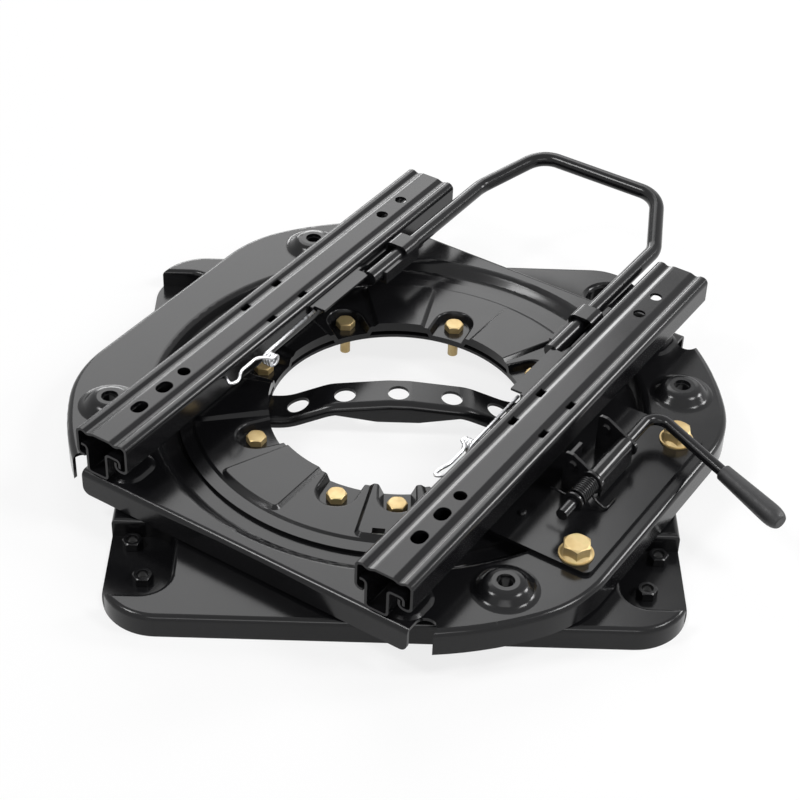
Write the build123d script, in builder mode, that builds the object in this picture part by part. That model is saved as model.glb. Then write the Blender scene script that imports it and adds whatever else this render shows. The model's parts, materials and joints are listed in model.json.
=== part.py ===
from build123d import *
import math
import os

os.makedirs("parts", exist_ok=True)

# Swivel seat base with sliding rails. Millimetres, +Z up.
# The base pan lies square to X and Y with its front edge towards -Y.
# Everything above the turntable is drawn square and turned on saving.
SWIVEL_TURN = 32.84
SHEET = 2.5
SHEET_BEND = 6.0
RUNNING_GAP = 0.08
FREE_GAP = 0.3
SEAT_GAP = 0.05

# Base pan
BASE_WIDTH = 400.0
BASE_DEPTH = 426.0
BASE_HEIGHT = 18.0
BASE_CORNER = 40.0
BASE_ROUND = 4.0
POCKET_REACH = 46.5
POCKET_LENGTH = 72.0
POCKET_CORNER = 20.0
POCKET_INSET = 59.0
OUTER_NUT_INSET = 15.5
OUTER_NUT_SHIFT = -27.0
INNER_NUT_INSET = 26.5
INNER_NUT_SHIFT = 8.0

# Hexagon fasteners
M8_RADIUS = 4.0
M8_HOLE = 4.4
M8_FLATS = 13.0
M8_HEAD = 5.3
M8_NUT = 6.5
M10_RADIUS = 5.0
M10_FLATS = 17.0
M10_NUT = 8.0
M12_RADIUS = 6.0
M12_FLATS = 18.0
M12_HEAD = 8.0
M12_NUT = 8.0
M12_FLANGE = 12.3
M12_FLANGE_HEIGHT = 2.5
BOLT_TIP = 2.5
HEAD_CORNER = 0.94

# Turntable, from the hole outwards and from the deck upwards
HOLE_RADIUS = 97.0
BOLT_INSET = 14.6
BOLT_SECTOR = 11.0
CUP_RADIUS = 12.0
FRONT_CUP_RADIUS = 9.5
CUP_TAPER = 25.0
CUP_ROUND = 2.0
LIP_CLEARANCE = 11.9
LIP_LAP = 12.0
DECK_SLOPE = 14.0
DECK_LAP = 6.0
DECK_RISE = 10.5
LOWER_GLIDE = 1.7
UPPER_GLIDE = 1.2
GLIDE_COLLAR = 3.0
PANEL_LAP = 2.0
PANEL_STEP = 2.4
PANEL_TAPER = 50.0
PANEL_CORNER = 6.0
PANEL_ROUND = 1.6
RING_SLOPE = 2.5
RIM_WIDTH = 9.5
RIM_DROP = 1.2
RING_FOLD = 5.0
LOCK_SLOT_RADIUS = 146.0
LOCK_SLOT_ANGLE = 265.0
LOCK_SLOT_LENGTH = 9.0
LOCK_SLOT_WIDTH = 6.0
RING_BOLT_LENGTH = 24.0

# Bridge strap across the hole
STRAP_Y = 22.0
STRAP_WIDTH = 30.0
STRAP_RISE = 13.5
STRAP_DIP = 4.5
STRAP_SHOULDER = 4.8
STRAP_LAP = 8.0
STRAP_FOOT = 13.0
STRAP_RAMP = 32.0
STRAP_CROWN = 8.0
STRAP_TURN = 7.0
STRAP_BEND = 40.0
STRAP_LIP = 7.5
STRAP_ROLL = 5.5
STRAP_BELLY = 16.8
STRAP_BELLY_ROUND = 24.0
STRAP_BELLY_FLAT = 16.0
STRAP_BELLY_RAMP = 32.0
STRAP_HOLE = 8.2
STRAP_PITCH = 40.5
STRAP_END_HOLE = 76.0

# Swivel plate
DISH_CLEARANCE = 14.0
DISH_SLOPE = 7.0
DISH_LAP = 7.0
DISH_DEPTH = 7.5
PLATE_BORDER = 6.5
PLATE_SIDE = 27.5
PLATE_ARC = 52.0
PLATE_BLEND = 100.0
SKIRT_CORNER = 6.0
PLATE_CLEARANCE = 2.5
PLATE_ROUND = 4.5
NOTCH_X = 144.5
NOTCH_WIDTH = 15.0
NOTCH_DEPTH = 17.5
BOSS_SIDE = 50.5
BOSS_END = 69.5
BOSS_FOOT = 20.5
BOSS_CROWN = 13.0
BOSS_LAP = 4.0
BOSS_HEIGHT = 8.0
BOSS_HOLE = 6.3
BOSS_ROUND = 8.0
PAD_HEIGHT = 2.0
PAD_END = 23.0
PAD_WIDTH = 42.0
PAD_LENGTH = 36.0
PAD_CORNER = 14.0
PAD_TAPER = 60.0
PAD_ROUND = 5.0

# Seat rails, roll-formed sections of one sheet
RAIL_X = 117.1
RAIL_SHEET = 2.0
RAIL_SETBACK = 0.9
RAIL_BEND = 3.8
LOWER_BEND = 2.9
LOWER_HALF = 9.5
LOWER_SHIFT = -5.0
LOWER_HEIGHT = 24.0
FLANGE_REACH = 4.0
HOOK_REACH = 12.0
HOOK_DROP = 7.5
HOOK_PLAY = 1.5
WALL_PLAY = 4.0
UPPER_LENGTH = 421.4
BALL_RADIUS = 4.4
BALL_PLAY = 0.4
BALL_END = 57.6
BALL_INSET = 2.3
TOP_FLAT = 7.2
BEAD_DEPTH = 1.5
BEAD_INNER = 4.0
BEAD_FLAT = 2.2
BEAD_OUTER = 2.6
FRONT_SLOT = 41.9
SECOND_SLOT = 69.7
SLOT_LENGTH = 14.0
SLOT_WIDTH = 10.5
FRONT_HOLE = 92.1
BACK_HOLE = 45.6
SECOND_BACK_HOLE = 72.8
SEAT_HOLE = 4.8
FRONT_WINDOW = 182.6
BACK_WINDOW = 221.6
WINDOW_WIDTH = 5.0
WINDOW_LENGTH = 9.0
RIVET_RADIUS = 3.0
RIVET_HOLE = 3.2
RIVET_TAIL = 6.0
RIVET_HEIGHT = 3.0

# Swivel lock on the right-hand side
LOCK_PLATE_GAP = 6.4
LOCK_PLATE_EDGE = 10.5
LOCK_PLATE_HALF = 88.0
LOCK_PLATE_SHEET = 3.0
LOCK_PLATE_CORNER = 6.0
LOCK_BOLT_EDGE = 17.0
LOCK_BOLT_END = 13.5
LOCK_RIVET_EDGE = 13.6
LOCK_RIVET_Y = 60.0
LOCK_RIVET = 2.0
LOCK_RIVET_HEAD = 3.2
LOCK_RIVET_HEIGHT = 2.2
SHAFT_HEIGHT = 17.5
ROD_RADIUS = 4.25
ROD_BEND = 11.0
TIP_REACH = 64.0
EAR_FRONT = -20.0
EAR_BACK = 29.0
EAR_SHEET = 2.5
EAR_HEIGHT = 33.0
EAR_ROUND = 2.4
EAR_NOSE = 7.0
EAR_TIP = 8.5
EAR_TIP_RISE = 2.0
EAR_TIP_DROP = 5.0
WEB_INSET = 22.0
WEB_HEIGHT = 27.0
WEB_LENGTH = 21.0
SHAFT_OUT = 23.0
PIN_RADIUS = 2.5
PIN_HEAD = 3.8
PIN_HEIGHT = 2.0
COIL_FRONT = -46.0
COIL_BACK = -24.0
COIL_WIRE = 1.0
COIL_LEG = 20.0
COLLAR_RADIUS = 9.0
COLLAR_WIDTH = 2.1
PAWL_WALL = 2.2
PAWL_DROP = 14.0
LEVER_BEND_Y = 73.0
LEVER_OUT = 122.0
LEVER_FORWARD = 45.5
LEVER_DROP = 11.0
GRIP_LENGTH = 58.0
GRIP_NECK = 6.2
GRIP_BELLY = 7.8
GRIP_BELLY_AT = 44.0
GRIP_TIP = 5.0
GRIP_ROUND = 1.0
GRIP_BORE = 41.0

# Rail release bar and its latches
BAR_RADIUS = 6.0
BAR_GAP = 12.4
BAR_DROP = 8.5
BAR_FRONT = 80.0
BAR_KNEE_Y = 246.0
BAR_TOP_X = 54.5
BAR_TOP_Y = 301.0
BAR_RISE = 13.0
BAR_BEND = 24.0
LATCH_GAP = 0.7
LATCH_SHEET = 2.5
LATCH_FRONT = 18.0
LATCH_BACK = 138.0
LATCH_DROP = 4.5
LATCH_FLANGE = 12.0
LATCH_NOSE = 8.0
CHANNEL_FRONT = 92.0
CHANNEL_DROP = 6.5
CLAMP_LENGTH = 17.0
CLAMP_ROUND = 6.0
PIVOT_Y = 84.0
PIVOT_DROP = 11.5
PIVOT_RADIUS = 3.0
PIVOT_HEAD = 4.6
STUD_Y = 24.0
STUD_RADIUS = 2.6
STUD_HEIGHT = 2.0
WIRE_RADIUS = 1.3
WIRE_DROP = 2.5
TORSION_Y = -43.0
TORSION_DROP = 6.5
TORSION_RADIUS = 5.2
TORSION_WIDTH = 7.8
TORSION_SAG = 3.5
WIRE_FRONT = 6.0
WIRE_ARM = 16.0
WIRE_RISE = 22.0
WIRE_KINK = 34.0
WIRE_END = 44.0
KINK_DROP = 4.0
END_DROP = 1.0
END_SHIFT = 3.0

# Radii of the turntable
bolt_circle = HOLE_RADIUS + BOLT_INSET
lip_radius = bolt_circle + CUP_RADIUS + SHEET + LIP_CLEARANCE
deck_radius = lip_radius + LIP_LAP
deck_foot = deck_radius + DECK_SLOPE
deck_rim = deck_foot + DECK_LAP
panel_radius = deck_radius + PANEL_LAP
slope_radius = panel_radius + RING_SLOPE
ring_radius = slope_radius + RIM_WIDTH
dish_foot = ring_radius + DISH_CLEARANCE
dish_radius = dish_foot + DISH_SLOPE
dish_rim = dish_radius + DISH_LAP
plate_depth = 2 * (dish_rim + PLATE_BORDER)
plate_width = 2 * (dish_rim + PLATE_SIDE)
plate_radius = dish_rim + PLATE_ARC

# Heights above the ground
deck_top = BASE_HEIGHT + DECK_RISE
cup_floor = deck_top + SHEET
lip_top = deck_top + LOWER_GLIDE + FREE_GAP + SHEET
ring_low = lip_top + FREE_GAP + UPPER_GLIDE + SHEET
rim_top = ring_low - RIM_DROP
plate_top = lip_top + DISH_DEPTH
plate_bottom = BASE_HEIGHT + PLATE_CLEARANCE
strap_low = BASE_HEIGHT - SHEET
strap_top = strap_low + STRAP_RISE
rail_floor = plate_top + PAD_HEIGHT
lower_top = rail_floor + LOWER_HEIGHT
hook_bottom = lower_top - HOOK_DROP
upper_bottom = hook_bottom - HOOK_PLAY - RAIL_SHEET
ball_z = lower_top + FREE_GAP + BALL_RADIUS
upper_top = ball_z + BALL_RADIUS + BALL_PLAY + RAIL_SHEET + BEAD_DEPTH
lock_top = plate_top + LOCK_PLATE_SHEET
shaft_z = lock_top + SHAFT_HEIGHT
bar_z = upper_top - BAR_DROP
latch_top = upper_top - LATCH_DROP
channel_top = upper_top - CHANNEL_DROP
pivot_z = upper_top - PIVOT_DROP
wire_z = latch_top - WIRE_DROP
torsion_z = wire_z - TORSION_DROP

# Places across and along the swivel plate
hook_half = LOWER_SHIFT + LOWER_HALF + HOOK_REACH
upper_inner = hook_half + WALL_PLAY
upper_half = upper_inner + RAIL_SHEET
ball_x = hook_half - BALL_INSET
rail_front = RAIL_SETBACK - plate_depth / 2
rail_back = -rail_front
upper_back = rail_front + UPPER_LENGTH
lock_plate_left = RAIL_X + LOWER_SHIFT + LOWER_HALF + LOCK_PLATE_GAP
lock_plate_right = plate_width / 2 - LOCK_PLATE_EDGE
lock_bolt_x = lock_plate_right - LOCK_BOLT_EDGE
lock_bolt_y = LOCK_PLATE_HALF - LOCK_BOLT_END
web_x = lock_plate_left + WEB_INSET
shaft_x = web_x + SHAFT_OUT
latch_x = RAIL_X - upper_half - LATCH_GAP
latch_face = latch_x - LATCH_SHEET
bar_x = latch_x - BAR_GAP

bolt_angles = [22.5 + 45.0 * k for k in range(8)] + [270.0]
bolt_places = [
    (bolt_circle * math.cos(math.radians(a)), bolt_circle * math.sin(math.radians(a)))
    for a in bolt_angles
]
four_ways = [(1, 1), (1, -1), (-1, 1), (-1, -1)]
pocket_y = BASE_DEPTH / 2 - POCKET_INSET
pocket_places = [(sx * BASE_WIDTH / 2, sy * pocket_y) for sx, sy in four_ways]
base_nut_places = [
    (sx * (BASE_WIDTH / 2 - inset), sy * (pocket_y + shift))
    for inset, shift in ((OUTER_NUT_INSET, OUTER_NUT_SHIFT), (INNER_NUT_INSET, INNER_NUT_SHIFT))
    for sx, sy in four_ways
]
boss_places = [(sx * (plate_width / 2 - BOSS_SIDE), sy * (plate_depth / 2 - BOSS_END)) for sx, sy in four_ways]
pad_places = [(sx * RAIL_X, sy * (plate_depth / 2 - PAD_END)) for sx, sy in four_ways]
rivet_places = [(x + LOWER_SHIFT, y) for x, y in pad_places]
notch_places = [(sx * NOTCH_X, sy * plate_depth / 2) for sx, sy in four_ways]
lock_bolt_places = [(lock_bolt_x, sy * lock_bolt_y) for sy in (1, -1)]
lock_rivet_places = [(lock_plate_left + LOCK_RIVET_EDGE, sy * LOCK_RIVET_Y) for sy in (1, -1)]
UP = (Align.CENTER, Align.CENTER, Align.MIN)
DOWN = (Align.CENTER, Align.CENTER, Align.MAX)


def save(part, label, turned):
    # One file per node, the upper half turned about the swivel axis.
    body = part.rotate(Axis.Z, -SWIVEL_TURN) if turned else part
    body.label = label
    export_step(body, f"parts/{label}.step")


def at_height(places, z):
    return [(x, y, z) for x, y in places]


def both_sides(points):
    # Completes a line, given from the middle out, by its mirror image.
    return [(-x, z) for x, z in reversed(points)] + points


def hex_head(flats, height):
    # Bolt head standing on the origin, its corners turned off at the top.
    crown = HEAD_CORNER * flats / 2
    with BuildPart() as head:
        with BuildSketch():
            RegularPolygon(flats / 2, 6, major_radius=False)
        extrude(amount=height)
        Cone(crown + height * math.sqrt(3), crown, height, align=UP, mode=Mode.INTERSECT)
    return head.part


def hex_nut(flats, height, bore):
    # Nut hanging below the origin, its corners turned off at the free end.
    crown = HEAD_CORNER * flats / 2
    with BuildPart() as nut:
        with BuildSketch():
            RegularPolygon(flats / 2, 6, major_radius=False)
            Circle(bore, mode=Mode.SUBTRACT)
        extrude(amount=-height)
        Cone(crown, crown + height * math.sqrt(3), height, align=DOWN, mode=Mode.INTERSECT)
    return nut.part


# Base pan: rounded tray, four bolting pockets and the raised deck of the turntable
with BuildPart() as base_plate:
    with BuildSketch():
        RectangleRounded(BASE_WIDTH, BASE_DEPTH, BASE_CORNER)
    extrude(amount=BASE_HEIGHT)
    with BuildSketch(Plane.XY.offset(SHEET)):
        with Locations(*pocket_places):
            RectangleRounded(2 * POCKET_REACH, POCKET_LENGTH, POCKET_CORNER)
    extrude(amount=BASE_HEIGHT, mode=Mode.SUBTRACT)
    fillet(base_plate.faces().sort_by(Axis.Z)[-1].edges(), BASE_ROUND)
    with BuildSketch():
        RectangleRounded(BASE_WIDTH - 2 * SHEET, BASE_DEPTH - 2 * SHEET, BASE_CORNER - SHEET)
        with Locations(*pocket_places):
            RectangleRounded(
                2 * (POCKET_REACH + SHEET),
                POCKET_LENGTH + 2 * SHEET,
                POCKET_CORNER + SHEET,
                mode=Mode.SUBTRACT,
            )
    extrude(amount=BASE_HEIGHT - SHEET, mode=Mode.SUBTRACT)
    with BuildSketch():
        Circle(deck_foot + SHEET)
    extrude(amount=BASE_HEIGHT, mode=Mode.SUBTRACT)
    with BuildSketch(Plane.XZ):
        with BuildLine():
            FilletPolyline(
                (HOLE_RADIUS, deck_top - SHEET / 2),
                (deck_radius, deck_top - SHEET / 2),
                (deck_foot, BASE_HEIGHT - SHEET / 2),
                (deck_rim, BASE_HEIGHT - SHEET / 2),
                radius=SHEET_BEND,
            )
        trace(line_width=SHEET)
    revolve(axis=Axis.Z)
    with Locations(*at_height(bolt_places, deck_top)):
        Hole(M8_HOLE, SHEET)
    with Locations(*at_height(base_nut_places, SHEET)):
        Hole(M8_RADIUS, SHEET)
save(base_plate.part, "base_plate", False)

with BuildPart() as base_weld_nuts:
    with Locations(*[Location((x, y, SHEET), (180, 0, 0)) for x, y in base_nut_places]):
        add(hex_nut(M8_FLATS, M8_NUT, M8_RADIUS))
save(base_weld_nuts.part, "base_weld_nuts", False)

# Strap bridging the hole in an arch, its front edge rolled over and deepened to a belly
strap_dip = strap_low - STRAP_DIP
ramp_foot = HOLE_RADIUS - STRAP_FOOT
strap_half = [
    (STRAP_CROWN, strap_top - SHEET / 2),
    (ramp_foot - STRAP_RAMP, strap_top - STRAP_SHOULDER - SHEET / 2),
    (ramp_foot, strap_dip - SHEET / 2),
    (HOLE_RADIUS + STRAP_TURN, strap_dip - SHEET / 2),
    (HOLE_RADIUS + 3 * STRAP_TURN, strap_low - SHEET / 2),
    (deck_rim + STRAP_LAP, strap_low - SHEET / 2),
]
strap_front = STRAP_Y - STRAP_WIDTH / 2
belly_low = strap_top - STRAP_BELLY
belly_end = STRAP_BELLY_FLAT + STRAP_BELLY_RAMP
belly_side = strap_top - STRAP_SHOULDER - STRAP_LIP + SHEET / 4
with BuildPart() as bridge_strap:
    with BuildLine(Plane.XZ) as strap_run:
        FilletPolyline(*both_sides(strap_half), radius=STRAP_BEND)
    with BuildSketch(Plane.YZ.offset((strap_run.line @ 0).X)):
        with BuildLine():
            FilletPolyline(
                (STRAP_Y + STRAP_WIDTH / 2, strap_low - SHEET / 2),
                (strap_front + SHEET / 2, strap_low - SHEET / 2),
                (strap_front + SHEET / 2, strap_low - STRAP_LIP),
                radius=STRAP_ROLL,
            )
        trace(line_width=SHEET)
    sweep(path=strap_run.line)
    with BuildSketch(Plane.XZ.offset(-strap_front)):
        with BuildLine():
            FilletPolyline(
                (-belly_end, belly_side),
                (-STRAP_BELLY_FLAT, belly_low),
                (STRAP_BELLY_FLAT, belly_low),
                (belly_end, belly_side),
                radius=STRAP_BELLY_ROUND,
            )
            Polyline((belly_end, belly_side), (0, strap_top - STRAP_LIP + SHEET / 4), (-belly_end, belly_side))
        make_face()
    extrude(amount=-SHEET)
    with Locations((0, STRAP_Y, strap_top)):
        with GridLocations(STRAP_PITCH, 0, 3, 1):
            Hole(STRAP_HOLE, STRAP_RISE)
    with Locations((-STRAP_END_HOLE, STRAP_Y, strap_top), (STRAP_END_HOLE, STRAP_Y, strap_top)):
        Hole(STRAP_HOLE, STRAP_RISE + STRAP_DIP + 2 * SHEET)
save(bridge_strap.part, "bridge_strap", False)

# Glide rings above and below the turning lip
collar_radius = lip_radius - FREE_GAP
with BuildPart() as lower_glide_ring:
    with BuildSketch(Plane.XZ):
        Polygon(
            (collar_radius - GLIDE_COLLAR, deck_top),
            (deck_radius - SHEET_BEND / 2, deck_top),
            (deck_radius - SHEET_BEND / 2, deck_top + LOWER_GLIDE),
            (collar_radius, deck_top + LOWER_GLIDE),
            (collar_radius, lip_top),
            (collar_radius - GLIDE_COLLAR, lip_top),
            align=None,
        )
    revolve(axis=Axis.Z)
save(lower_glide_ring.part, "lower_glide_ring", False)

with BuildPart() as upper_glide_ring:
    with BuildSketch(Plane.XY.offset(lip_top + FREE_GAP)):
        Circle(deck_radius)
        Circle(lip_radius + 2 * FREE_GAP, mode=Mode.SUBTRACT)
    extrude(amount=UPPER_GLIDE)
save(upper_glide_ring.part, "upper_glide_ring", False)


def bolt_cups(radius, angles):
    # Round cups at the ring bolts, open towards the middle of the hole.
    reach = BOLT_INSET + 2 * SHEET
    for angle in angles:
        with Locations(Location((0, 0, 0), (0, 0, angle))):
            with Locations((bolt_circle, 0)):
                Circle(radius)
            with Locations((bolt_circle - reach / 2, 0)):
                Rectangle(reach, 2 * radius)


def off_hole(edge):
    middle = edge @ 0.5
    return math.hypot(middle.X, middle.Y) > HOLE_RADIUS + SEAT_GAP


# Space left under the pressed ring, apart from its bolt cups
rim_under = rim_top - SHEET
cup_height = ring_low + PANEL_STEP - deck_top
with BuildPart() as ring_space:
    with BuildSketch(Plane.XZ):
        Polygon(
            (HOLE_RADIUS - SHEET, deck_top - SHEET),
            (HOLE_RADIUS - SHEET, ring_low - RING_FOLD),
            (HOLE_RADIUS + SHEET, ring_low - RING_FOLD),
            (HOLE_RADIUS + SHEET, ring_low - SHEET),
            (panel_radius - SHEET / 2, ring_low - SHEET),
            (slope_radius - SHEET / 2, rim_under),
            (ring_radius + SHEET, rim_under),
            (ring_radius + SHEET, deck_top - SHEET),
            align=None,
        )
    revolve(axis=Axis.Z)
    with BuildSketch(Plane.XY.offset(deck_top)):
        bolt_cups(CUP_RADIUS + SHEET, bolt_angles[:-1])
        bolt_cups(FRONT_CUP_RADIUS + SHEET, bolt_angles[-1:])
    extrude(amount=cup_height, taper=-CUP_TAPER, mode=Mode.SUBTRACT)

# Retainer ring: one pressing with raised panels between the bolts and a folded inner edge
with BuildPart() as retainer_ring:
    with BuildSketch(Plane.XZ):
        Polygon(
            (HOLE_RADIUS, deck_top),
            (HOLE_RADIUS, ring_low),
            (panel_radius, ring_low),
            (slope_radius, rim_top),
            (ring_radius, rim_top),
            (ring_radius, deck_top),
            align=None,
        )
    revolve(axis=Axis.Z)
    with BuildSketch(Plane.XY.offset(ring_low)) as panels:
        Circle(panel_radius)
        Circle(HOLE_RADIUS - 2 * SHEET, mode=Mode.SUBTRACT)
        half_chord = deck_rim * math.tan(math.radians(BOLT_SECTOR))
        for angle in bolt_angles[:-1]:
            with Locations(Location((0, 0, 0), (0, 0, angle))):
                Polygon((0, 0), (deck_rim, -half_chord), (deck_rim, half_chord), align=None, mode=Mode.SUBTRACT)
        fillet(panels.vertices().filter_by(lambda v: math.hypot(v.X, v.Y) > bolt_circle), PANEL_CORNER)
    extrude(amount=PANEL_STEP, taper=PANEL_TAPER)
    with BuildSketch(Plane.XY.offset(deck_top)):
        Circle(HOLE_RADIUS)
    extrude(amount=cup_height, mode=Mode.SUBTRACT)
    fillet(retainer_ring.edges().group_by(Axis.Z)[-1].filter_by(off_hole), PANEL_ROUND)
    for radius, angles in ((CUP_RADIUS, bolt_angles[:-1]), (FRONT_CUP_RADIUS, bolt_angles[-1:])):
        with BuildSketch(Plane.XY.offset(cup_floor)):
            bolt_cups(radius, angles)
        extrude(amount=cup_height, taper=-CUP_TAPER, mode=Mode.SUBTRACT)
        level = ring_low + (PANEL_STEP if radius == FRONT_CUP_RADIUS else 0)
        cup_rims = retainer_ring.edges(Select.LAST).filter_by_position(Axis.Z, level - SEAT_GAP, level + SEAT_GAP)
        fillet(cup_rims.filter_by(off_hole), CUP_ROUND)
    add(ring_space.part, mode=Mode.SUBTRACT)
    with Locations(*at_height(bolt_places, cup_floor)):
        Hole(M8_HOLE, SHEET)
    with Locations(Location((0, 0, 0), (0, 0, LOCK_SLOT_ANGLE))):
        with Locations((LOCK_SLOT_RADIUS, 0, ring_low)):
            Box(LOCK_SLOT_WIDTH, LOCK_SLOT_LENGTH, 4 * SHEET, mode=Mode.SUBTRACT)
save(retainer_ring.part, "retainer_ring", False)

with BuildPart() as ring_bolts:
    with Locations(*at_height(bolt_places, cup_floor)):
        add(hex_head(M8_FLATS, M8_HEAD))
        Cylinder(M8_RADIUS - SEAT_GAP, RING_BOLT_LENGTH, align=DOWN)
save(ring_bolts.part, "ring_bolts", False)

with BuildPart() as ring_nuts:
    with Locations(*at_height(bolt_places, deck_top - SHEET)):
        add(hex_nut(M8_FLATS, M8_NUT, M8_RADIUS))
save(ring_nuts.part, "ring_nuts", False)


def plate_outline(inset):
    # Round plate cut off at the front, back and sides, the side corners blended.
    side = plate_width / 2 - inset
    with BuildSketch() as outline:
        Circle(plate_radius - inset)
        Rectangle(2 * side, plate_depth - 2 * inset, mode=Mode.INTERSECT)
        fillet(outline.vertices().filter_by(lambda v: abs(abs(v.X) - side) < SEAT_GAP), PLATE_BLEND - inset)
    return outline.sketch


# Pressed boss, revolved as a sheet about its own axis
with BuildPart() as boss:
    with BuildSketch(Plane.XZ):
        with BuildLine():
            FilletPolyline(
                (BOSS_HOLE, BOSS_HEIGHT - SHEET / 2),
                (BOSS_CROWN, BOSS_HEIGHT - SHEET / 2),
                (BOSS_FOOT, -SHEET / 2),
                (BOSS_FOOT + BOSS_LAP, -SHEET / 2),
                radius=BOSS_ROUND,
            )
        trace(line_width=SHEET)
    revolve(axis=Axis.Z)

# Swivel plate: flanged tray with a round dish, four bosses and pads under the rails
plate_skirt = plate_top - plate_bottom
with BuildPart() as swivel_plate:
    with BuildSketch(Plane.XY.offset(plate_bottom)):
        add(plate_outline(0))
    extrude(amount=plate_skirt)
    fillet(swivel_plate.faces().sort_by(Axis.Z)[-1].edges(), PLATE_ROUND)
    with BuildSketch(Plane.XY.offset(plate_bottom)):
        add(plate_outline(SHEET))
    extrude(amount=plate_skirt - SHEET, mode=Mode.SUBTRACT)
    with BuildSketch(Plane.XY.offset(plate_bottom)):
        with Locations(*notch_places):
            RectangleRounded(NOTCH_WIDTH, 2 * NOTCH_DEPTH, 0.48 * NOTCH_WIDTH)
    extrude(amount=plate_skirt, mode=Mode.SUBTRACT)
    with BuildSketch(Plane.XY.offset(plate_bottom)):
        Circle(dish_radius + SHEET)
    extrude(amount=plate_skirt, mode=Mode.SUBTRACT)
    with BuildSketch(Plane.XZ):
        with BuildLine():
            FilletPolyline(
                (lip_radius, lip_top - SHEET / 2),
                (dish_foot, lip_top - SHEET / 2),
                (dish_radius, plate_top - SHEET / 2),
                (dish_rim, plate_top - SHEET / 2),
                radius=SHEET_BEND,
            )
        trace(line_width=SHEET)
    revolve(axis=Axis.Z)
    with BuildSketch(Plane.XY.offset(plate_top)):
        with Locations(*pad_places):
            RectangleRounded(PAD_WIDTH, PAD_LENGTH, PAD_CORNER)
    extrude(amount=PAD_HEIGHT, taper=PAD_TAPER)
    fillet(swivel_plate.edges().group_by(Axis.Z)[-1], PAD_ROUND)
    skirt_ends = swivel_plate.edges().filter_by(Axis.Y).group_by(Axis.Z)[0]
    fillet(skirt_ends.filter_by(lambda e: e.length < 2 * SHEET and abs(e.center().X) < NOTCH_X), SKIRT_CORNER)
    with Locations(*at_height(boss_places, plate_top)):
        Hole(BOSS_FOOT + BOSS_LAP - FREE_GAP, SHEET)
        add(boss.part)
    with Locations(*at_height(rivet_places, rail_floor)):
        Hole(RIVET_HOLE, PAD_HEIGHT + SHEET)
    with Locations(*at_height(lock_bolt_places, plate_top)):
        Hole(M12_RADIUS + FREE_GAP, SHEET)
save(swivel_plate.part, "swivel_plate", True)

with BuildPart() as boss_weld_nuts:
    with Locations(*at_height(boss_places, plate_top + BOSS_HEIGHT - SHEET)):
        add(hex_nut(M10_FLATS, M10_NUT, M10_RADIUS))
save(boss_weld_nuts.part, "boss_weld_nuts", True)

# Middle lines of the two rail sections, the lower channel standing off the rail's middle
half_sheet = RAIL_SHEET / 2
wall_left = LOWER_SHIFT - LOWER_HALF + half_sheet
wall_right = LOWER_SHIFT + LOWER_HALF - half_sheet
lower_line = [
    (wall_left - half_sheet - FLANGE_REACH, lower_top - half_sheet),
    (wall_left, lower_top - half_sheet),
    (wall_left, rail_floor + half_sheet),
    (wall_right, rail_floor + half_sheet),
    (wall_right, lower_top - half_sheet),
    (hook_half - half_sheet, lower_top - half_sheet),
    (hook_half - half_sheet, hook_bottom),
]
bead_inner = TOP_FLAT + BEAD_INNER
bead_outer = bead_inner + BEAD_FLAT
bead_x = (bead_inner + bead_outer) / 2
lip_half = hook_half - RAIL_SHEET - HOOK_PLAY - half_sheet
upper_mid = upper_top - half_sheet
upper_low = upper_bottom + half_sheet
upper_side = [
    (TOP_FLAT, upper_mid),
    (bead_inner, upper_mid - BEAD_DEPTH),
    (bead_outer, upper_mid - BEAD_DEPTH),
    (bead_outer + BEAD_OUTER, upper_mid),
    (upper_half - half_sheet, upper_mid),
    (upper_half - half_sheet, upper_low),
]
left_lip = (LOWER_SHIFT - LOWER_HALF - HOOK_PLAY, upper_low)
right_lip = [(lip_half, upper_low), (lip_half, lower_top - RAIL_SHEET - HOOK_PLAY)]
upper_line = [left_lip] + both_sides(upper_side) + right_lip
slot_places = [rail_front + FRONT_SLOT, rail_front + SECOND_SLOT]
hole_places = [rail_front + FRONT_HOLE, upper_back - SECOND_BACK_HOLE, upper_back - BACK_HOLE]
window_places = [rail_front + FRONT_WINDOW, rail_front + BACK_WINDOW]
ball_places = [rail_front + BALL_END, rail_back - BALL_END]

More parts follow.
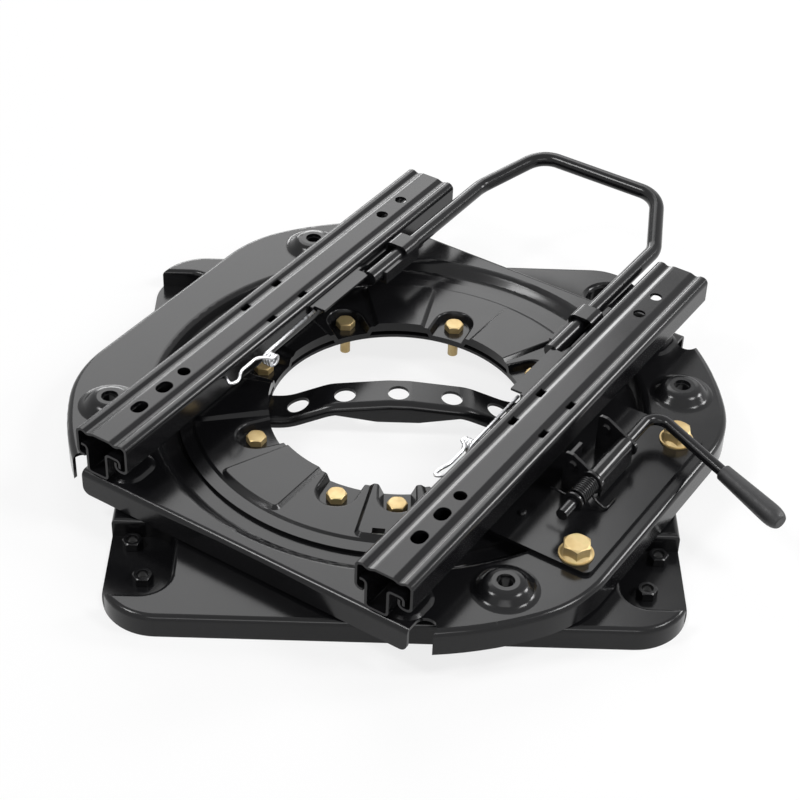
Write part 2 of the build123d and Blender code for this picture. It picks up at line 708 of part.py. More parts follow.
for side, sign in (("left", -1), ("right", 1)):
    rail_x = sign * RAIL_X
    rail_holes = [p for p in at_height(rivet_places, rail_floor + RAIL_SHEET) if sign * p[0] > 0]
    with BuildPart() as lower_rail:
        with BuildSketch(Plane.XZ.offset(-rail_back)):
            with BuildLine():
                FilletPolyline(*[(x + rail_x, z) for x, z in lower_line], radius=LOWER_BEND)
            trace(line_width=RAIL_SHEET)
        extrude(amount=rail_back - rail_front)
        with Locations(*rail_holes):
            Hole(RIVET_HOLE, RAIL_SHEET)
    save(lower_rail.part, side + "_lower_rail", True)

    with BuildPart() as upper_rail:
        with BuildSketch(Plane.XZ.offset(-upper_back)):
            with BuildLine():
                FilletPolyline(*[(x + rail_x, z) for x, z in upper_line], radius=RAIL_BEND)
            trace(line_width=RAIL_SHEET)
        extrude(amount=UPPER_LENGTH)
        with BuildSketch(Plane.XY.offset(upper_top)):
            with Locations(*[(rail_x, y) for y in slot_places]):
                SlotOverall(SLOT_LENGTH, SLOT_WIDTH, rotation=90)
            with Locations(*[(rail_x, y) for y in hole_places]):
                Circle(SEAT_HOLE)
            with Locations(*[(rail_x + s * bead_x, y) for y in window_places for s in (-1, 1)]):
                Rectangle(WINDOW_WIDTH, WINDOW_LENGTH)
        extrude(amount=-BEAD_DEPTH - RAIL_SHEET, mode=Mode.SUBTRACT)
        with Locations(Location((sign * (RAIL_X - upper_inner), PIVOT_Y, pivot_z), (0, 90, 0))):
            Cylinder(PIVOT_RADIUS + SEAT_GAP, 3 * RAIL_SHEET, mode=Mode.SUBTRACT)
    save(upper_rail.part, side + "_upper_rail", True)

    with BuildPart() as rail_balls:
        with Locations(*[(rail_x + s * ball_x, y, ball_z) for s in (-1, 1) for y in ball_places]):
            Sphere(BALL_RADIUS)
    save(rail_balls.part, side + "_rail_balls", True)

rivet_head = LOWER_HALF - RAIL_SHEET - LOWER_BEND + half_sheet - SEAT_GAP
with BuildPart() as rail_rivets:
    with Locations(*at_height(rivet_places, rail_floor + RAIL_SHEET)):
        Cylinder(rivet_head, RIVET_HEIGHT, align=UP)
        Cylinder(RIVET_RADIUS, PAD_HEIGHT + SHEET + RAIL_SHEET, align=DOWN)
    with Locations(*at_height(rivet_places, plate_top - SHEET)):
        Cylinder(RIVET_TAIL, RIVET_HEIGHT, align=DOWN)
save(rail_rivets.part, "rail_rivets", True)

# Swivel lock: carrier plate, bolts, bracket and rivets
with BuildPart() as lock_plate:
    with BuildSketch(Plane.XY.offset(plate_top)):
        with Locations(((lock_plate_left + lock_plate_right) / 2, 0)):
            RectangleRounded(lock_plate_right - lock_plate_left, 2 * LOCK_PLATE_HALF, LOCK_PLATE_CORNER)
        with Locations(*lock_bolt_places):
            Circle(M12_RADIUS + FREE_GAP, mode=Mode.SUBTRACT)
        with Locations(*lock_rivet_places):
            Circle(LOCK_RIVET, mode=Mode.SUBTRACT)
    extrude(amount=LOCK_PLATE_SHEET)
save(lock_plate.part, "lock_plate", True)

with BuildPart() as lock_plate_rivets:
    with Locations(*at_height(lock_rivet_places, lock_top)):
        Cylinder(LOCK_RIVET_HEAD, LOCK_RIVET_HEIGHT, align=UP)
    fillet(lock_plate_rivets.edges().group_by(Axis.Z)[-1], LOCK_RIVET_HEIGHT - FREE_GAP)
    with Locations(*at_height(lock_rivet_places, lock_top)):
        Cylinder(LOCK_RIVET - SEAT_GAP, LOCK_PLATE_SHEET, align=DOWN)
save(lock_plate_rivets.part, "lock_plate_rivets", True)

with BuildPart() as lock_plate_bolts:
    with Locations(*at_height(lock_bolt_places, lock_top)):
        Cone(M12_FLANGE, M12_FLATS / 2, 1.4 * M12_FLANGE_HEIGHT, align=UP)
        Cylinder(M12_FLANGE, M12_FLANGE_HEIGHT / 2, align=UP)
        Cylinder(M12_RADIUS - SEAT_GAP, LOCK_PLATE_SHEET + SHEET + M12_NUT + BOLT_TIP, align=DOWN)
        add(hex_head(M12_FLATS, M12_FLANGE_HEIGHT + M12_HEAD))
save(lock_plate_bolts.part, "lock_plate_bolts", True)

with BuildPart() as lock_plate_nuts:
    with Locations(*at_height(lock_bolt_places, plate_top - SHEET)):
        add(hex_nut(M12_FLATS, M12_NUT, M12_RADIUS))
save(lock_plate_nuts.part, "lock_plate_nuts", True)

ear_top = lock_top + EAR_HEIGHT
ear_outline = [
    (web_x, lock_top),
    (web_x, ear_top),
    (web_x + EAR_NOSE, ear_top),
    (shaft_x + EAR_TIP, shaft_z + EAR_TIP_RISE),
    (shaft_x + EAR_TIP, shaft_z - EAR_TIP_DROP),
    (shaft_x - EAR_NOSE, lock_top),
]
pin_place = (web_x + EAR_NOSE, shaft_z + EAR_NOSE)
with BuildPart() as lock_bracket:
    for ear_y in (EAR_FRONT, EAR_BACK):
        with BuildSketch(Plane.XZ.offset(-ear_y)) as ear:
            Polygon(*ear_outline, align=None)
            fillet(ear.vertices().filter_by(lambda v: v.Y > lock_top + EAR_ROUND), EAR_ROUND)
            with Locations((shaft_x, shaft_z)):
                Circle(ROD_RADIUS + RUNNING_GAP, mode=Mode.SUBTRACT)
            with Locations(pin_place):
                Circle(PIN_RADIUS, mode=Mode.SUBTRACT)
        extrude(amount=EAR_SHEET / 2, both=True)
    with Locations((web_x, EAR_FRONT, lock_top)):
        Box(EAR_SHEET, WEB_LENGTH, WEB_HEIGHT, align=Align.MIN)
        Box(SHAFT_OUT - EAR_NOSE, EAR_BACK - EAR_FRONT, EAR_SHEET, align=Align.MIN)
save(lock_bracket.part, "lock_bracket", True)

with BuildPart() as bracket_rivets:
    for ear_y in (EAR_FRONT, EAR_BACK):
        with BuildSketch(Plane.XZ.offset(-ear_y - EAR_SHEET / 2)):
            with Locations(pin_place):
                Circle(PIN_RADIUS - SEAT_GAP)
        extrude(amount=EAR_SHEET)
        with BuildSketch(Plane.XZ.offset(-ear_y + EAR_SHEET / 2)):
            with Locations(pin_place):
                Circle(PIN_HEAD)
        extrude(amount=PIN_HEIGHT, taper=25)
save(bracket_rivets.part, "bracket_rivets", True)

# Return spring of the lock lever, its coil kept as a plain sleeve
coil_inner = ROD_RADIUS + WIRE_RADIUS - SEAT_GAP
coil_outer = coil_inner + 2 * COIL_WIRE
coil_middle = coil_inner + COIL_WIRE
foot_z = lock_top + COIL_WIRE
with BuildPart() as lever_spring:
    with BuildSketch(Plane.XZ.offset(-COIL_FRONT)):
        with Locations((shaft_x, shaft_z)):
            Circle(coil_outer)
            Circle(coil_inner, mode=Mode.SUBTRACT)
    extrude(amount=COIL_FRONT - COIL_BACK)
    with BuildLine() as lower_leg:
        FilletPolyline(
            (shaft_x + coil_middle, COIL_BACK - 2 * COIL_WIRE, shaft_z),
            (shaft_x + 2 * coil_middle, COIL_BACK - 2 * COIL_WIRE, foot_z),
            (shaft_x + 2 * coil_middle, COIL_BACK + coil_outer + coil_middle, foot_z),
            radius=3 * COIL_WIRE,
        )
    with BuildSketch(Plane(lower_leg.line @ 0, z_dir=lower_leg.line % 0)):
        Circle(COIL_WIRE)
    sweep(path=lower_leg.line)
    with BuildLine() as upper_leg:
        Line(
            (shaft_x - coil_middle, COIL_FRONT + 2 * COIL_WIRE, shaft_z),
            (shaft_x - COIL_LEG, COIL_FRONT + coil_middle, shaft_z),
        )
    with BuildSketch(Plane(upper_leg.line @ 0, z_dir=upper_leg.line % 0)):
        Circle(COIL_WIRE)
    sweep(path=upper_leg.line)
save(lever_spring.part, "lever_spring", True)

# Lock lever: one bent rod, its collars, pawl and grip
lever_bend = Vector(shaft_x, LEVER_BEND_Y, shaft_z)
lever_run = Vector(LEVER_OUT, -LEVER_FORWARD, -LEVER_DROP)
grip_origin = lever_bend + lever_run.normalized() * (lever_run.length - GRIP_LENGTH)
grip_plane = Plane(grip_origin, x_dir=(LEVER_FORWARD, LEVER_OUT, 0), z_dir=lever_run)
with BuildPart() as lever_rod:
    with BuildLine() as rod_path:
        FilletPolyline(
            (shaft_x, -TIP_REACH, shaft_z),
            tuple(lever_bend),
            tuple(grip_origin + lever_run.normalized() * (GRIP_BORE - FREE_GAP)),
            radius=ROD_BEND,
        )
    with BuildSketch(Plane(rod_path.line @ 0, z_dir=rod_path.line % 0)):
        Circle(ROD_RADIUS)
    sweep()
save(lever_rod.part, "lever_rod", True)

with BuildPart() as lever_grip:
    with BuildSketch(Plane(grip_origin, x_dir=grip_plane.x_dir, z_dir=-grip_plane.y_dir)) as moulding:
        with BuildLine():
            Polyline((0, GRIP_LENGTH), (0, 0), (GRIP_NECK, 0))
            Line((GRIP_NECK, 0), (GRIP_BELLY, GRIP_BELLY_AT))
            shoulder = (GRIP_BELLY - GRIP_NECK, GRIP_BELLY_AT)
            Spline((GRIP_BELLY, GRIP_BELLY_AT), (GRIP_TIP, GRIP_LENGTH), tangents=(shoulder, (-1, 1)))
            Line((GRIP_TIP, GRIP_LENGTH), (0, GRIP_LENGTH))
        make_face()
    revolve(axis=Axis(grip_origin, lever_run))
    fillet(lever_grip.edges().filter_by(GeomType.CIRCLE), GRIP_ROUND)
    with Locations(grip_plane):
        Cylinder(ROD_RADIUS + SEAT_GAP, GRIP_BORE, align=UP, mode=Mode.SUBTRACT)
save(lever_grip.part, "lever_grip", True)

pawl_front = EAR_FRONT + EAR_SHEET / 2 + FREE_GAP
pawl_back = EAR_BACK - EAR_SHEET / 2 - FREE_GAP
with BuildPart() as lock_pawl:
    with BuildSketch(Plane.XZ.offset(-pawl_back)):
        with Locations((shaft_x, shaft_z)):
            Circle(ROD_RADIUS + PAWL_WALL)
        with Locations((shaft_x + ROD_RADIUS + PAWL_WALL / 2, shaft_z - PAWL_DROP / 2)):
            Rectangle(PAWL_WALL, PAWL_DROP)
        with Locations((shaft_x, shaft_z)):
            Circle(ROD_RADIUS + SEAT_GAP, mode=Mode.SUBTRACT)
    extrude(amount=pawl_back - pawl_front)
save(lock_pawl.part, "lock_pawl", True)

with BuildPart() as spring_collars:
    front_collar = COIL_FRONT - FREE_GAP - COLLAR_WIDTH
    for collar_y, radius in ((front_collar, coil_outer), (COIL_BACK + FREE_GAP, COLLAR_RADIUS)):
        with BuildSketch(Plane.XZ.offset(-collar_y)):
            with Locations((shaft_x, shaft_z)):
                Circle(radius)
                Circle(ROD_RADIUS + SEAT_GAP, mode=Mode.SUBTRACT)
        extrude(amount=-COLLAR_WIDTH)
save(spring_collars.part, "spring_collars", True)

# Release bar and the two latches on the inner sides of the upper rails
with BuildPart() as release_bar:
    with BuildLine() as bar_path:
        FilletPolyline(
            (-bar_x, BAR_FRONT, bar_z),
            (-bar_x, BAR_KNEE_Y, bar_z),
            (-BAR_TOP_X, BAR_TOP_Y, bar_z + BAR_RISE),
            (BAR_TOP_X, BAR_TOP_Y, bar_z + BAR_RISE),
            (bar_x, BAR_KNEE_Y, bar_z),
            (bar_x, BAR_FRONT, bar_z),
            radius=BAR_BEND,
        )
    with BuildSketch(Plane(bar_path.line @ 0, z_dir=bar_path.line % 0)):
        Circle(BAR_RADIUS)
    sweep()
save(release_bar.part, "release_bar", True)

channel_floor = bar_z - BAR_RADIUS - LATCH_SHEET
channel_inner = bar_x - BAR_RADIUS - SEAT_GAP
channel_outer = channel_inner - LATCH_SHEET
clamp_under = bar_z + BAR_RADIUS + SEAT_GAP
flange_back = BAR_FRONT - FREE_GAP
wire_x = latch_face - FREE_GAP - WIRE_RADIUS
for side, sign in (("left", -1), ("right", 1)):
    with BuildPart() as latch_lever:
        with BuildSketch(Plane.YZ.offset(sign * latch_x)):
            Polygon(
                (LATCH_FRONT, latch_top - LATCH_NOSE),
                (PIVOT_Y - 3 * LATCH_NOSE, channel_floor),
                (LATCH_BACK, channel_floor),
                (LATCH_BACK, channel_top),
                (CHANNEL_FRONT, channel_top),
                (PIVOT_Y, latch_top),
                (LATCH_FRONT, latch_top),
                align=None,
            )
            with Locations((PIVOT_Y, pivot_z)):
                Circle(PIVOT_RADIUS + RUNNING_GAP, mode=Mode.SUBTRACT)
        extrude(amount=-sign * LATCH_SHEET)
        with BuildSketch(Plane.XZ.offset(-flange_back)):
            Polygon(
                (sign * latch_x, latch_top),
                (sign * (latch_x - LATCH_FLANGE), latch_top),
                (sign * (latch_x - LATCH_FLANGE), latch_top - RAIL_SHEET),
                (sign * latch_x, latch_top - RAIL_SHEET),
                align=None,
            )
        extrude(amount=flange_back - LATCH_FRONT - LATCH_SHEET)
        with BuildSketch(Plane.XZ.offset(-LATCH_BACK)):
            Polygon(
                (sign * latch_x, channel_floor),
                (sign * channel_outer, channel_floor),
                (sign * channel_outer, channel_top),
                (sign * channel_inner, channel_top),
                (sign * channel_inner, channel_floor + LATCH_SHEET),
                (sign * latch_x, channel_floor + LATCH_SHEET),
                align=None,
            )
        extrude(amount=LATCH_BACK - CHANNEL_FRONT)
        with BuildSketch(Plane.XZ.offset(-LATCH_BACK)) as clamp:
            Polygon(
                (sign * latch_x, channel_top),
                (sign * latch_x, clamp_under + LATCH_SHEET),
                (sign * channel_outer, clamp_under + LATCH_SHEET),
                (sign * channel_outer, channel_top),
                (sign * channel_inner, channel_top),
                (sign * channel_inner, clamp_under),
                (sign * latch_face, clamp_under),
                (sign * latch_face, channel_top),
                align=None,
            )
            fillet(clamp.vertices().group_by(Axis.Y)[-1], CLAMP_ROUND)
        extrude(amount=CLAMP_LENGTH)
        with BuildSketch(Plane.YZ.offset(sign * latch_face)):
            with Locations((STUD_Y, latch_top - LATCH_NOSE / 2)):
                Circle(STUD_RADIUS)
        extrude(amount=-sign * STUD_HEIGHT)
    save(latch_lever.part, side + "_latch_lever", True)

    with BuildPart() as latch_spring:
        with BuildLine() as wire_path:
            FilletPolyline(
                (sign * wire_x, STUD_Y - WIRE_FRONT, wire_z),
                (sign * wire_x, TORSION_Y + WIRE_ARM, wire_z),
                (sign * wire_x, TORSION_Y, torsion_z - TORSION_SAG),
                (sign * wire_x, TORSION_Y - WIRE_RISE, wire_z),
                (sign * wire_x, TORSION_Y - WIRE_KINK, wire_z - KINK_DROP),
                (sign * (wire_x + END_SHIFT), TORSION_Y - WIRE_END, wire_z - END_DROP),
                radius=2 * WIRE_RADIUS,
            )
        with BuildSketch(Plane(wire_path.line @ 0, z_dir=wire_path.line % 0)):
            Circle(WIRE_RADIUS)
        sweep()
        with BuildSketch(Plane.YZ.offset(sign * (wire_x + 0.6 * WIRE_RADIUS))):
            with Locations((TORSION_Y, torsion_z)):
                Circle(TORSION_RADIUS)
                Circle(TORSION_RADIUS - 2 * WIRE_RADIUS, mode=Mode.SUBTRACT)
        extrude(amount=-sign * TORSION_WIDTH)
    save(latch_spring.part, side + "_latch_spring", True)

with BuildPart() as latch_pivots:
    for sign in (-1, 1):
        with BuildSketch(Plane.YZ.offset(sign * (RAIL_X - upper_inner - FREE_GAP))):
            with Locations((PIVOT_Y, pivot_z)):
                Circle(PIVOT_RADIUS)
        extrude(amount=-sign * (RAIL_SHEET + LATCH_GAP + LATCH_SHEET + FREE_GAP))
        with BuildSketch(Plane.YZ.offset(sign * (latch_face - FREE_GAP))):
            with Locations((PIVOT_Y, pivot_z)):
                Circle(PIVOT_HEAD)
        extrude(amount=-sign * PIN_HEIGHT)
save(latch_pivots.part, "latch_pivots", True)
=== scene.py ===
import json
import math

import bmesh
import bpy
from mathutils import Matrix, Vector


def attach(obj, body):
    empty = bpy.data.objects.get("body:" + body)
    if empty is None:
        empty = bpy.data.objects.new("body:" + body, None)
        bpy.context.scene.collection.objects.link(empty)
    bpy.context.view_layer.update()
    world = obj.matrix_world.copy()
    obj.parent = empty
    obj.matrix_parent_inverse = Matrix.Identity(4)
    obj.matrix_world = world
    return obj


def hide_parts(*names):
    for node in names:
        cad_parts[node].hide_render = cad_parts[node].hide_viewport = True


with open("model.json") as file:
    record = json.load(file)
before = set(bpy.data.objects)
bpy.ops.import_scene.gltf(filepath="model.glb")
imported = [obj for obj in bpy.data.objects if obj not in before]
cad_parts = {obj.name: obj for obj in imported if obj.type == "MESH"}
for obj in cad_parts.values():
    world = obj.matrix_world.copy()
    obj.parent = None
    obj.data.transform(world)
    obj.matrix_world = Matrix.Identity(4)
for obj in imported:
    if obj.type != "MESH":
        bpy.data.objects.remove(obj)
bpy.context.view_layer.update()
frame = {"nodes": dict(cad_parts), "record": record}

MM = 0.001

# The swivelling half stands turned about Z, as in the photograph
SWIVEL_TURN = math.radians(-32.84)

# Camera fitted to the photograph
CAMERA_PLACE = Vector((-17.64, -1123.28, 925.38)) * MM
CAMERA_RIGHT = Vector((0.99947553, 0.00826001, 0.0313118))
CAMERA_UP = Vector((-0.02969776, 0.61931498, 0.78458078))
CAMERA_LENS = 86.64
SENSOR_WIDTH = 36.0

# Stage: a matt floor and a dim world, which the camera and the gloss see as white
FLOOR_SIZE = 30.0
FLOOR_GREY = 0.95
FLOOR_ROUGHNESS = 0.9
FLOOR_WHITE_SHARE = 0.8
WORLD_FILL = (0.12, 0.12, 0.125, 1.0)
WHITE = (1.0, 1.0, 1.0, 1.0)

# Softboxes that face the middle of the base: name, place, width and height, and brightness
SOFTBOXES = (
    ("softbox_back", (-0.22, 2.0, 1.68), (1.4, 1.35), 3.2),
    ("softbox_right_back", (0.78, 1.95, 1.05), (0.7, 0.5), 1.4),
    ("softbox_low_back", (-0.5, 2.4, 0.62), (1.2, 0.4), 9.0),
    ("softbox_front", (0.0, -2.1, 1.5), (1.6, 0.5), 4.5),
    ("softbox_left", (-1.25, -0.35, 1.8), (0.5, 0.5), 20.0),
    ("softbox_right_high", (1.4, -0.35, 1.65), (0.5, 0.5), 20.0),
    ("softbox_right", (1.62, 0.42, 0.85), (0.45, 0.45), 20.0),
)

# Small rounding of every sharp edge
EDGE_ROUND = 0.35 * MM
EDGE_SEGMENTS = 2
SHARP_ANGLE = math.radians(35)
WELD_REACH = 0.02 * MM
FLAT_ANGLE = math.radians(0.02)

# Nodes whose flat faces are merged first, because their thin triangles fold over when rounded
MERGED_FLATS = (
    "bridge_strap",
    "left_lower_rail",
    "right_lower_rail",
    "left_upper_rail",
    "right_upper_rail",
    "lock_plate",
    "lock_plate_nuts",
    "lock_pawl",
)

# Where most values of a noise lie, and where a finish of two tones changes from one to the other
NOISE_LOW = 0.3
NOISE_HIGH = 0.7
DARK_UNTIL = 0.35
LIGHT_FROM = 0.65

# Spring wires: sides of the round wire, points in a turn and in a corner, longest share of a run in a corner
WIRE_SIDES = 12
TURN_STEPS = 24
CORNER_STEPS = 6
CORNER_SHARE = 0.45


def link(obj):
    bpy.context.scene.collection.objects.link(obj)
    return obj


# Finishes

def shader_of(name):
    material = bpy.data.materials.new(name)
    material.use_nodes = True
    tree = material.node_tree
    return material, tree, tree.nodes["Principled BSDF"]


def noise(tree, scale, detail):
    place = tree.nodes.new("ShaderNodeTexCoord")
    node = tree.nodes.new("ShaderNodeTexNoise")
    node.inputs["Scale"].default_value = scale
    node.inputs["Detail"].default_value = detail
    tree.links.new(place.outputs["Object"], node.inputs["Vector"])
    return node.outputs["Fac"]


def ramp(tree, value, stops):
    node = tree.nodes.new("ShaderNodeValToRGB")
    elements = node.color_ramp.elements
    while len(elements) < len(stops):
        elements.new(0.5)
    for element, (place, colour) in zip(elements, stops):
        element.position = place
        element.color = (*colour, 1.0)
    tree.links.new(value, node.inputs["Fac"])
    return node.outputs["Color"]


def spread(tree, value, low, high):
    node = tree.nodes.new("ShaderNodeMapRange")
    node.inputs["From Min"].default_value = NOISE_LOW
    node.inputs["From Max"].default_value = NOISE_HIGH
    node.inputs["To Min"].default_value = low
    node.inputs["To Max"].default_value = high
    tree.links.new(value, node.inputs["Value"])
    return node.outputs["Result"]


def two_tones(dark, light):
    return [(DARK_UNTIL, dark), (LIGHT_FROM, light)]


def finish(name, tone_noise, tones, gloss_noise, roughness, metallic=0.0, specular=0.5):
    # A surface whose colour and gloss drift by noise, each noise given as its scale and detail.
    material, tree, shader = shader_of(name)
    tone = ramp(tree, noise(tree, *tone_noise), tones)
    tree.links.new(tone, shader.inputs["Base Color"])
    gloss = spread(tree, noise(tree, *gloss_noise), *roughness)
    tree.links.new(gloss, shader.inputs["Roughness"])
    shader.inputs["Metallic"].default_value = metallic
    shader.inputs["Specular IOR Level"].default_value = specular
    return material


def add_grain(material, grain_noise, strength, depth):
    # Fine relief in the surface of a finish.
    tree = material.node_tree
    node = tree.nodes.new("ShaderNodeBump")
    node.inputs["Strength"].default_value = strength
    node.inputs["Distance"].default_value = depth
    tree.links.new(noise(tree, *grain_noise), node.inputs["Height"])
    tree.links.new(node.outputs["Normal"], tree.nodes["Principled BSDF"].inputs["Normal"])
    return material


def black_paint():
    paint = finish(
        "black_paint",
        tone_noise=(9.0, 2.0),
        tones=two_tones((0.0055, 0.0055, 0.0062), (0.0085, 0.0085, 0.0093)),
        gloss_noise=(30.0, 4.0),
        roughness=(0.16, 0.20),
        specular=0.27,
    )
    return add_grain(paint, (90.0, 1.0), strength=0.02, depth=0.4 * MM)


def yellow_zinc():
    zinc = finish(
        "yellow_zinc",
        tone_noise=(70.0, 3.0),
        tones=[
            (0.30, (0.40, 0.285, 0.125)),
            (0.45, (0.47, 0.345, 0.155)),
            (0.58, (0.52, 0.395, 0.195)),
            (0.72, (0.46, 0.380, 0.170)),
        ],
        gloss_noise=(240.0, 3.0),
        roughness=(0.36, 0.48),
        metallic=0.6,
    )
    return add_grain(zinc, (900.0, 2.0), strength=0.08, depth=0.3 * MM)


def bright_zinc():
    return finish(
        "bright_zinc",
        tone_noise=(50.0, 2.0),
        tones=two_tones((0.60, 0.61, 0.63), (0.70, 0.70, 0.71)),
        gloss_noise=(300.0, 2.0),
        roughness=(0.22, 0.36),
        metallic=1.0,
    )


def ball_steel():
    return finish(
        "ball_steel",
        tone_noise=(200.0, 2.0),
        tones=two_tones((0.52, 0.52, 0.54), (0.66, 0.66, 0.68)),
        gloss_noise=(400.0, 2.0),
        roughness=(0.08, 0.16),
        metallic=1.0,
    )


def grip_plastic():
    plastic = finish(
        "grip_plastic",
        tone_noise=(60.0, 3.0),
        tones=two_tones((0.012, 0.012, 0.013), (0.020, 0.020, 0.021)),
        gloss_noise=(500.0, 3.0),
        roughness=(0.42, 0.56),
    )
    return add_grain(plastic, (1500.0, 2.0), strength=0.15, depth=0.3 * MM)


def glide_nylon():
    return finish(
        "glide_nylon",
        tone_noise=(40.0, 3.0),
        tones=two_tones((0.58, 0.57, 0.53), (0.68, 0.67, 0.63)),
        gloss_noise=(200.0, 2.0),
        roughness=(0.45, 0.6),
    )


FINISHES = {
    "black_paint": black_paint(),
    "yellow_zinc": yellow_zinc(),
    "bright_zinc": bright_zinc(),
    "ball_steel": ball_steel(),
    "grip_plastic": grip_plastic(),
    "glide_nylon": glide_nylon(),
}


# The solids of the frame, dressed and with their edges rounded

def dress(obj, slot):
    obj.data.materials.clear()
    obj.data.materials.append(FINISHES[slot])


def soften(obj):
    # Joins the faces of a node, rounds its sharp edges a little and evens the shading.
    weld = obj.modifiers.new("weld", "WELD")
    weld.merge_threshold = WELD_REACH
    if obj.name in MERGED_FLATS:
        flat = obj.modifiers.new("flat", "DECIMATE")
        flat.decimate_type = "DISSOLVE"
        flat.angle_limit = FLAT_ANGLE
    bevel = obj.modifiers.new("round", "BEVEL")
    bevel.width = EDGE_ROUND
    bevel.segments = EDGE_SEGMENTS
    bevel.limit_method = "ANGLE"
    bevel.angle_limit = SHARP_ANGLE
    even = obj.modifiers.new("even", "WEIGHTED_NORMAL")
    even.keep_sharp = True


def dress_nodes():
    for subpart in frame["record"]["subparts"]:
        node = frame["nodes"][subpart["node"]]
        dress(node, subpart["material_slot"])
        soften(node)


# Wire springs in place of the plain sleeves and rings, in millimetres of the swivelling half before its turn

def rounded(points, radius):
    # A line through the points with its corners cut by smooth curves.
    points = [Vector(point) for point in points]
    line = [points[0]]
    for before, corner, after in zip(points, points[1:], points[2:]):
        shorter = min((before - corner).length, (after - corner).length)
        reach = min(radius, CORNER_SHARE * shorter)
        first = corner + (before - corner).normalized() * reach
        last = corner + (after - corner).normalized() * reach
        for step in range(CORNER_STEPS + 1):
            t = step / CORNER_STEPS
            line.append(first * (1 - t) ** 2 + corner * 2 * t * (1 - t) + last * t ** 2)
    return line + [points[-1]]


def coil_across(centre, start, radius, pitch, turns):
    # Points of a coil, from a start angle in degrees: the way across, along its axis, and the height.
    across, along, height = centre
    points = []
    for step in range(round(turns * TURN_STEPS) + 1):
        turned = step / TURN_STEPS
        angle = math.radians(start) + math.tau * turned
        points.append((
            across + radius * math.cos(angle),
            along + pitch * turned,
            height + radius * math.sin(angle),
        ))
    return points


def wire(name, line, radius, slot, body, node):
    # A round wire along a line, with flat ends.
    turn = Matrix.Rotation(SWIVEL_TURN, 4, "Z")
    line = [turn @ (Vector(point) * MM) for point in line]
    angles = [math.tau * side / WIRE_SIDES for side in range(WIRE_SIDES)]
    shape = bmesh.new()
    rings = []
    side = None
    for k, place in enumerate(line):
        along = (line[min(k + 1, len(line) - 1)] - line[max(k - 1, 0)]).normalized()
        if side is None:
            side = along.orthogonal().normalized()
        side = (side - along * side.dot(along)).normalized()
        up = along.cross(side)
        ring = []
        for angle in angles:
            outward = side * math.cos(angle) + up * math.sin(angle)
            ring.append(shape.verts.new(place + outward * radius * MM))
        rings.append(ring)
    for near, far in zip(rings, rings[1:]):
        for s in range(WIRE_SIDES):
            t = (s + 1) % WIRE_SIDES
            shape.faces.new((near[s], near[t], far[t], far[s])).smooth = True
    shape.faces.new(list(reversed(rings[0])))
    shape.faces.new(rings[-1])
    mesh = bpy.data.meshes.new(name)
    shape.to_mesh(mesh)
    shape.free()
    obj = link(bpy.data.objects.new(name, mesh))
    dress(obj, slot)
    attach(obj, body)
    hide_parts(node)


def lever_spring():
    # Wound round the lever's shaft, with one leg towards the rail and one foot on the lock plate.
    shaft_x = 173.0
    shaft_z = 61.0
    front_y = -44.0
    coil_radius = 6.5
    pitch = 2.2
    turns = 8.75
    wire_radius = 0.85
    foot_x = 187.0
    foot_z = 44.6
    foot_end_y = -10.5
    knee_out = 4.0
    knee_z = 50.0
    bend_radius = 3.0
    leg = [(shaft_x - 20.0, front_y + 0.4, shaft_z + 0.4), (shaft_x - 8.0, front_y + 0.1, shaft_z + 0.2)]
    winding = coil_across((shaft_x, front_y, shaft_z), 180.0, coil_radius, pitch, turns)
    back_x, back_y, back_z = winding[-1]
    foot = [
        (back_x, back_y, back_z),
        (back_x + knee_out, back_y, knee_z),
        (foot_x, back_y + 0.4, foot_z),
        (foot_x + 0.2, foot_end_y, foot_z),
    ]
    line = leg + winding + rounded(foot, bend_radius)[1:]
    wire("lock_lever_spring", line, wire_radius, "black_paint", "swivel", "lever_spring")


def latch_spring(side, sign):
    # A coil beside the rail, with a straight leg to the latch and a hooked leg to the front.
    wire_x = 89.8
    coil_y = -43.0
    coil_z = 66.0
    coil_radius = 4.2
    pitch = -2.6
    turns = 3.0
    wire_radius = 1.25
    leg_z = 72.5
    leg_end_y = 18.0
    leave = 3.0
    bend_radius = 8.0
    coil_top = coil_z + coil_radius
    leg = [(wire_x, leg_end_y, leg_z), (wire_x, coil_y + leave, coil_top)]
    turned = coil_across((coil_y, wire_x, coil_z), 90.0, coil_radius, pitch, turns)
    winding = [(x, y, z) for y, x, z in turned]
    hook = [
        (wire_x + pitch * turns, coil_y - leave, coil_top),
        (wire_x, -54.0, leg_z + 0.5),
        (wire_x, -75.0, leg_z),
        (85.5, -82.0, 70.5),
        (87.0, -91.0, 72.0),
        (94.2, -86.5, leg_z),
    ]
    line = [(sign * x, y, z) for x, y, z in leg + winding + rounded(hook, bend_radius)]
    wire(side + "_rail_spring", line, wire_radius, "bright_zinc", "carriage", side + "_latch_spring")


# Camera, stage and light

def make_camera():
    data = bpy.data.cameras.new("camera")
    data.lens = CAMERA_LENS
    data.sensor_width = SENSOR_WIDTH
    camera = link(bpy.data.objects.new("camera", data))
    back = CAMERA_RIGHT.cross(CAMERA_UP)
    turn = Matrix((CAMERA_RIGHT, CAMERA_UP, back)).transposed()
    camera.matrix_world = Matrix.Translation(CAMERA_PLACE) @ turn.to_4x4()
    bpy.context.scene.camera = camera


def seen_rays(tree):
    # One for rays that show the background: from the camera, off gloss or through glass.
    path = tree.nodes.new("ShaderNodeLightPath")
    seen = path.outputs["Is Camera Ray"]
    for kind in ("Is Glossy Ray", "Is Transmission Ray"):
        either = tree.nodes.new("ShaderNodeMath")
        either.operation = "MAXIMUM"
        tree.links.new(seen, either.inputs[0])
        tree.links.new(path.outputs[kind], either.inputs[1])
        seen = either.outputs["Value"]
    return seen


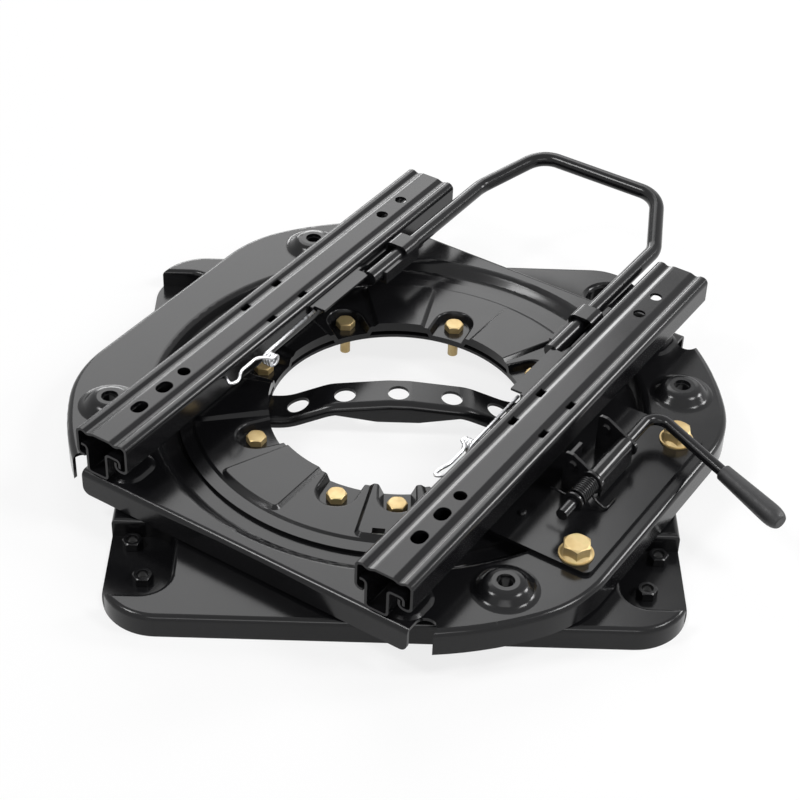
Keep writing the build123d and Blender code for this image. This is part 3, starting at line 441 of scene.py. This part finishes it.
def make_world():
    world = bpy.data.worlds.new("studio")
    bpy.context.scene.world = world
    world.use_nodes = True
    tree = world.node_tree
    background = tree.nodes["Background"]
    mix = tree.nodes.new("ShaderNodeMix")
    mix.data_type = "RGBA"
    mix.inputs["A"].default_value = WORLD_FILL
    mix.inputs["B"].default_value = WHITE
    tree.links.new(seen_rays(tree), mix.inputs["Factor"])
    tree.links.new(mix.outputs["Result"], background.inputs["Color"])


def floor_finish():
    # Matt floor that the camera and the gloss see nearer to white, with its shadows kept.
    material, tree, shader = shader_of("floor_white")
    shader.inputs["Base Color"].default_value = (FLOOR_GREY, FLOOR_GREY, FLOOR_GREY, 1.0)
    shader.inputs["Roughness"].default_value = FLOOR_ROUGHNESS
    shader.inputs["Specular IOR Level"].default_value = 0.0
    share = tree.nodes.new("ShaderNodeMath")
    share.operation = "MULTIPLY"
    share.inputs[1].default_value = FLOOR_WHITE_SHARE
    tree.links.new(seen_rays(tree), share.inputs[0])
    white = tree.nodes.new("ShaderNodeEmission")
    mix = tree.nodes.new("ShaderNodeMixShader")
    tree.links.new(share.outputs["Value"], mix.inputs["Fac"])
    tree.links.new(shader.outputs["BSDF"], mix.inputs[1])
    tree.links.new(white.outputs["Emission"], mix.inputs[2])
    tree.links.new(mix.outputs["Shader"], tree.nodes["Material Output"].inputs["Surface"])
    return material


def make_floor():
    mesh = bpy.data.meshes.new("floor")
    half = FLOOR_SIZE / 2
    corners = [(-half, -half, 0), (half, -half, 0), (half, half, 0), (-half, half, 0)]
    mesh.from_pydata(corners, [], [(0, 1, 2, 3)])
    mesh.materials.append(floor_finish())
    link(bpy.data.objects.new("floor", mesh))


def make_softbox(name, place, size, brightness):
    width, height = size
    data = bpy.data.lights.new(name, "AREA")
    data.shape = "RECTANGLE"
    data.size = width
    data.size_y = height
    data.energy = brightness * math.pi * width * height
    lamp = link(bpy.data.objects.new(name, data))
    lamp.location = place
    lamp.rotation_euler = (-Vector(place)).to_track_quat("-Z", "Y").to_euler()


dress_nodes()
lever_spring()
latch_spring("left", -1)
latch_spring("right", 1)

make_camera()
make_world()
make_floor()
for softbox in SOFTBOXES:
    make_softbox(*softbox)
bpy.context.scene.view_settings.view_transform = "Standard"
